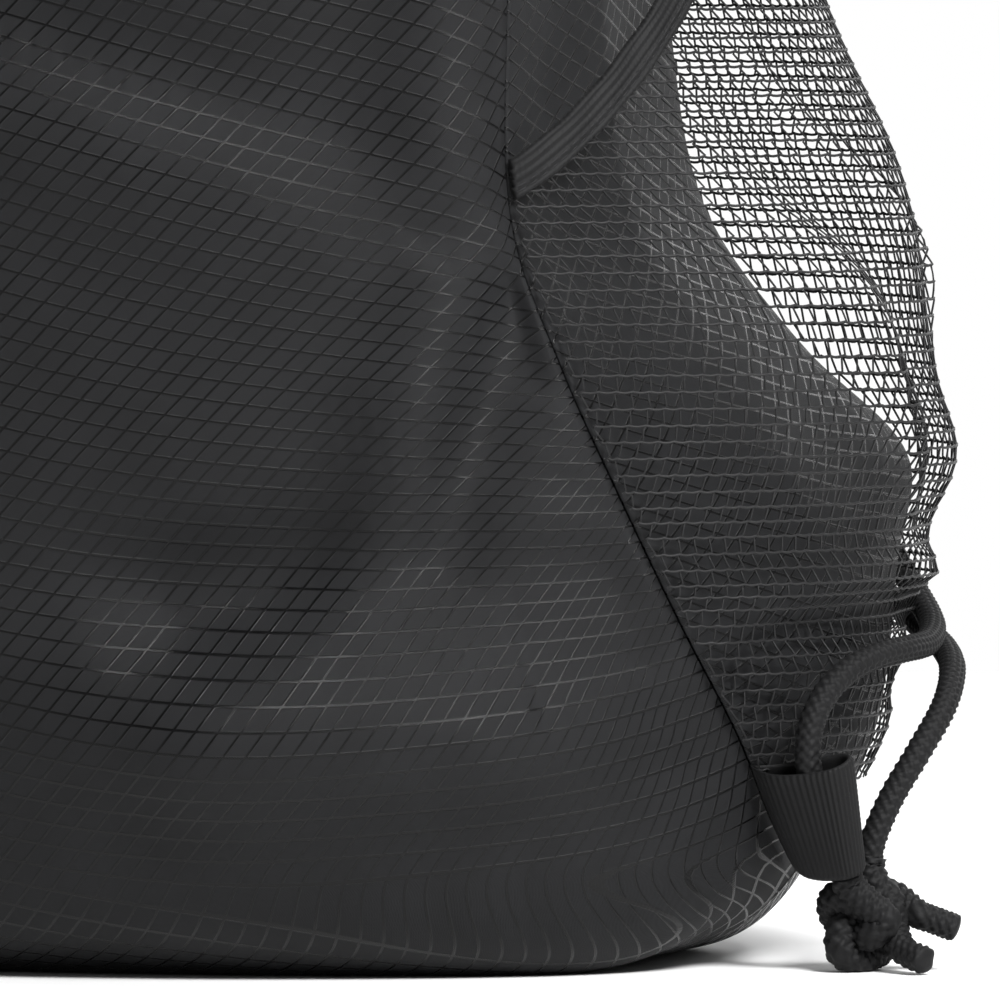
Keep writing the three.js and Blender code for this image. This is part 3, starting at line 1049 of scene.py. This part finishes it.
# ---- Drawcord channels ----
def slot_outline(height, depth, count):
    """A rounded slot, as points round it with their outward directions, height along X."""
    round_, reach = depth / 2, height / 2 - depth / 2
    perimeter = 2 * math.pi * round_ + 4 * reach
    points, outward = [], []
    for s in np.arange(count) / count * perimeter:
        if s < math.pi * round_:
            a = s / round_ - math.pi / 2
            c, d = (reach, 0), (math.cos(a), math.sin(a))
        elif s < math.pi * round_ + 2 * reach:
            c, d = (reach - (s - math.pi * round_), 0), (0, 1)
        elif s < 2 * math.pi * round_ + 2 * reach:
            a = (s - math.pi * round_ - 2 * reach) / round_ + math.pi / 2
            c, d = (-reach, 0), (math.cos(a), math.sin(a))
        else:
            c, d = (-reach + (s - 2 * math.pi * round_ - 2 * reach), 0), (0, -1)
        points.append((c[0] + d[0] * round_, c[1] + d[1] * round_))
        outward.append(d)
    return np.array(points), np.array(outward)


def ring_tube(rings, walls):
    """A closed tube with a wall, from rings of outer points and the matching inner ones."""
    count, around = rings.shape[:2]
    index = np.arange(count * around).reshape(count, around)
    after = np.roll(index, -1, axis=1)
    outer = np.stack([index[:-1], after[:-1], after[1:], index[1:]], -1).reshape(-1, 4)
    inner = outer[:, ::-1] + count * around
    ends = []
    for row, flip in ((0, False), (-1, True)):
        a, b = index[row], after[row]
        c, d = b + count * around, a + count * around
        quad = np.stack([a, d, c, b], -1)
        ends.append(quad[:, ::-1] if flip else quad)
    points = np.vstack([rings.reshape(-1, 3), walls.reshape(-1, 3)])
    return points, np.vstack([outer, inner, *ends])


CHANNEL_WALL = 1.2
CHANNEL_STEPS = 361
CHANNEL_AROUND = 56
CHANNEL_FULLNESS = 1.6  # how much longer the channel's cloth is than the channel
HEM = -9.4  # height of the stitching that closes a channel, from its middle
HEM_LEVEL = -0.78  # the same, as a share of half the height
UPWARD = np.array([0, 0, 1.0])


def across_plane(flat, out):
    """Points or directions in a channel's cross-section, at each place along it."""
    return flat[None, :, 0:1] * UPWARD + flat[None, :, 1:2] * out[:, None]


def channel(face, sign):
    """A channel's mesh, its hem's line and outward directions, and its place in the flat cloth."""
    across = np.linspace(-CHANNEL_END, CHANNEL_END, CHANNEL_STEPS)
    line = panel_point(face, across, np.ones_like(across))
    line[:, 2] = CHANNEL_Z
    out = unit(np.cross(unit(np.gradient(line, axis=0)), UPWARD)) * -sign
    outline, outward = slot_outline(CHANNEL_HEIGHT, CHANNEL_DEPTH, CHANNEL_AROUND)
    level = outline[None, :, 0] / CHANNEL_HEIGHT * 2
    facing = np.abs(outward[None, :, 1])
    puff = 0.30 * gathers(across, np.ones_like(across))[:, None] * facing * mix(1.0, 0.7, level)
    hem = -1.1 * hump(level, HEM_LEVEL, 0.10) * facing
    push = across_plane(outward, out)
    rings = line[:, None] + across_plane(outline, out) + push * (puff + hem)[..., None]
    points, faces = ring_tube(rings, rings - push * CHANNEL_WALL)
    if face == "back":
        faces = faces[:, ::-1]
    seam = np.argmin(np.abs(outline[:, 0] - HEM) + CHANNEL_HEIGHT * (outline[:, 1] < 0))
    cloth = np.zeros((CHANNEL_STEPS, CHANNEL_AROUND, 3))
    cloth[..., 0] = run_of(line)[:, None] * CHANNEL_FULLNESS
    cloth[..., 1] = outline[None, :, 0]
    cloth = cloth.reshape(-1, 3)
    return (points, faces), (rings[:, seam], push[:, seam]), np.vstack([cloth, cloth])


for face, sign in FACES.items():
    mesh, hem, cloth = channel(face, sign)
    stitching(f"{face}_channel_stitching", [hem])
    cloth_piece(f"{face}_gathered_channel", mesh, f"{face}_drawcord_channel", cloth)

# ---- Webbing tabs ----
RIB_PITCH = 1.15
TAB_TAPER = 0.72  # how much narrower the loop is drawn at its lower edge
TAB_SEAM = (0.03, 0.27)  # the stretch of the front seam that holds it
TAB_CLOSING = 3.2  # how soon its plies part again: higher is sooner
TAB_AROUND = 220
TAB_ROWS = 49


def leaning(x_angle, y_angle):
    """The matrix that turns by y_angle about Y, then by x_angle about X, in degrees."""
    a, b = math.radians(x_angle), math.radians(y_angle)
    about_y = [[math.cos(b), 0, math.sin(b)], [0, 1, 0], [-math.sin(b), 0, math.cos(b)]]
    about_x = [[1, 0, 0], [0, math.cos(a), -math.sin(a)], [0, math.sin(a), math.cos(a)]]
    return np.array(about_x) @ np.array(about_y)


def tab_mesh():
    around = TAB_AROUND
    outline, outward = slot_outline(TAB_LENGTH, TAB_DEPTH, around)
    perimeter = math.pi * TAB_DEPTH + 2 * (TAB_LENGTH - TAB_DEPTH)
    ribs = round(perimeter / RIB_PITCH)
    relief = 0.2 * np.cos(2 * math.pi * ribs * np.arange(around) / around)
    heights = np.linspace(-TAB_WEBBING / 2, TAB_WEBBING / 2, TAB_ROWS)
    rings, walls = [], []
    for h in heights:
        edge = smooth(TAB_WEBBING / 2 - 0.9, TAB_WEBBING / 2, abs(h))
        fine = 0.06 * math.sin(2 * math.pi * h / 0.9)
        sag = 0.5 * math.sin(math.pi * h / TAB_WEBBING + 0.4)
        size = relief * (1 - 0.6 * edge) + fine - 0.35 * edge
        flat = outline + outward * size[:, None]
        inner = outline - outward * (TAB_WALL - 0.3 * edge)
        bow = sag * (outline[:, 0] / TAB_LENGTH + 0.5)
        taper = mix(TAB_TAPER, 1, h / TAB_WEBBING + 0.5)
        for made, section in ((rings, flat), (walls, inner)):
            x = (section[:, 0] + TAB_LENGTH / 2) * taper
            made.append(np.stack([x, section[:, 1] * taper + bow, np.full(around, h)], -1))
    points, faces = ring_tube(np.array(rings), np.array(walls))
    points = points @ leaning(*TAB_LEAN).T + TAB_HINGE
    # Both plies close up towards the seam that they are sewn into.
    heights = np.repeat(heights, around)
    heights = np.concatenate([heights, heights]) / TAB_WEBBING + 0.5
    seam = curve_at(FRONT_SEAM, mix(*TAB_SEAM, heights))
    sewn = 0.93 * np.clip(0.5 - outline[:, 0] / TAB_LENGTH, 0, 1) ** TAB_CLOSING
    sewn = np.tile(sewn, 2 * len(rings))
    return mix(points, seam, sewn[:, None]), faces


for side in SIDES:
    tab = piece(
        f"{side}_grosgrain_tab",
        *on_side(side, *tab_mesh()),
        WEBBING,
        "webbing",
        None,
        [f"{side}_webbing_tab"],
    )
    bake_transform(tab)


# ---- Bindings inside the seams ----
BINDING_STRETCH = (SIDE_START + 0.06, 0.985)  # of the side seams
BASE_STRETCH = (-0.8, 0.8)  # of the base seam
TAPE_GRID = (15, 301)


def seam_binding(face, u, v):
    """The outer face of a tape that stands in from a side seam, halfway between its two cloths."""
    up = mix(*BINDING_STRETCH, v)
    over, under = np.minimum(up + STEP, 1), up - STEP
    seam = curve_at(FRONT_SEAM if face == "front" else BACK_SEAM, up)
    edge = np.zeros_like(up) if face == "front" else np.ones_like(up)
    left, right = np.clip(edge - STEP, 0, 1), np.clip(edge + STEP, 0, 1)
    side_across = side_point(right, up) - side_point(left, up)
    side_up = side_point(edge, over) - side_point(edge, under)
    side_normal = unit(np.cross(side_across, side_up))
    sign = -FACES[face]
    rim = np.ones_like(up)
    panel_across = (panel_point(face, rim, up) - panel_point(face, rim - 2 * STEP, up)) * sign
    panel_up = panel_point(face, rim, over) - panel_point(face, rim, under)
    panel_normal = unit(np.cross(panel_across, panel_up))
    inward = -unit(side_normal + panel_normal)
    turn = u if face == "front" else 1 - u
    half = unit(side_normal - panel_normal) * BINDING_THICK / 2 * sign
    wave = 0.25 * np.sin(60 * v) * turn
    return seam + inward * (BINDING_IN + BINDING_WIDTH * turn + wave)[..., None] + half


def tape_piece(name, mesh, node):
    piece(name, *mesh, TAPE, "binding_tape", "sack", [node])


for side in SIDES:
    for face in FACES:
        u, v = spread(*TAPE_GRID)
        shape = swollen(seam_binding(face, u, v))
        weave = 0.10 * np.cos(2 * math.pi * 5 * u) * np.cos(2 * math.pi * 150 * v)
        mesh = sheet_mesh(shape + normals(shape) * weave[..., None], BINDING_THICK)
        tape_piece(f"{side}_{face}_seam_tape", on_side(side, *mesh), f"{side}_{face}_seam_binding")

u, v = spread(*reversed(TAPE_GRID))
across = mix(*BASE_STRETCH, u)
lowest = panel_point("front", across, np.zeros_like(across))[..., 2]
height = lowest + CLOTH + 3 * GAP + BINDING_THICK + 0.1 * np.cos(900 * u)
shape = np.stack([across * CORNER_X, BINDING_WIDTH * (v - 0.5), height], -1)
tape_piece("base_seam_tape", sheet_mesh(shape, BINDING_THICK), "base_seam_binding")

# ---- Floor, light and background ----
FLOOR_REACH = 1.1
FLOOR_CORNERS = ((-1, -1), (1, -1), (1, 1), (-1, 1))
floor_mesh = bpy.data.meshes.new("floor")
floor_mesh.from_pydata(
    [(x * FLOOR_REACH, y * FLOOR_REACH, 0) for x, y in FLOOR_CORNERS], [], [(0, 1, 2, 3)]
)
floor = bpy.data.objects.new("floor", floor_mesh)
bpy.context.scene.collection.objects.link(floor)
pale = Shader("pale_floor", roughness=0.9, specular=0.2)
pale.bsdf.inputs["Base Color"].default_value = (0.9, 0.9, 0.9, 1)
floor.data.materials.append(pale.material)


def area_light(name, place, size, power):
    """A lamp that faces the sack, with its place and size in metres and its power in watts."""
    data = bpy.data.lights.new(name, "AREA")
    data.shape = "RECTANGLE"
    data.size, data.size_y = size
    data.energy = power
    light = bpy.data.objects.new(name, data)
    light.location = place
    light.rotation_euler = (SUBJECT - light.location).to_track_quat("-Z", "Y").to_euler()
    bpy.context.scene.collection.objects.link(light)


SUBJECT = Vector((0.08, 0, 0.12))
area_light("key", (0.85, -0.70, 0.95), (0.4, 0.4), 30)
area_light("top", (0.1, 0.15, 1.6), (0.8, 0.8), 12)
area_light("left_fill", (-1.3, -1.1, 0.7), (0.8, 1.2), 0.6)
area_light("rear", (0.6, 1.4, 0.9), (1.2, 1.2), 14)

# The sack is lit by a dim white surround, and the camera sees a bright one.
world = bpy.data.worlds.new("studio")
bpy.context.scene.world = world
world.use_nodes = True
nodes, links = world.node_tree.nodes, world.node_tree.links
soft = nodes["Background"]
backdrop = nodes.new("ShaderNodeBackground")
for background, strength in ((soft, 0.16), (backdrop, 1.0)):
    background.inputs["Color"].default_value = (1, 1, 1, 1)
    background.inputs["Strength"].default_value = strength
seen = nodes.new("ShaderNodeLightPath")
blend = nodes.new("ShaderNodeMixShader")
links.new(seen.outputs["Is Camera Ray"], blend.inputs[0])
links.new(soft.outputs[0], blend.inputs[1])
links.new(backdrop.outputs[0], blend.inputs[2])
links.new(blend.outputs[0], nodes["World Output"].inputs[0])
bpy.context.scene.view_settings.view_transform = "Standard"

bpy.context.view_layer.update()
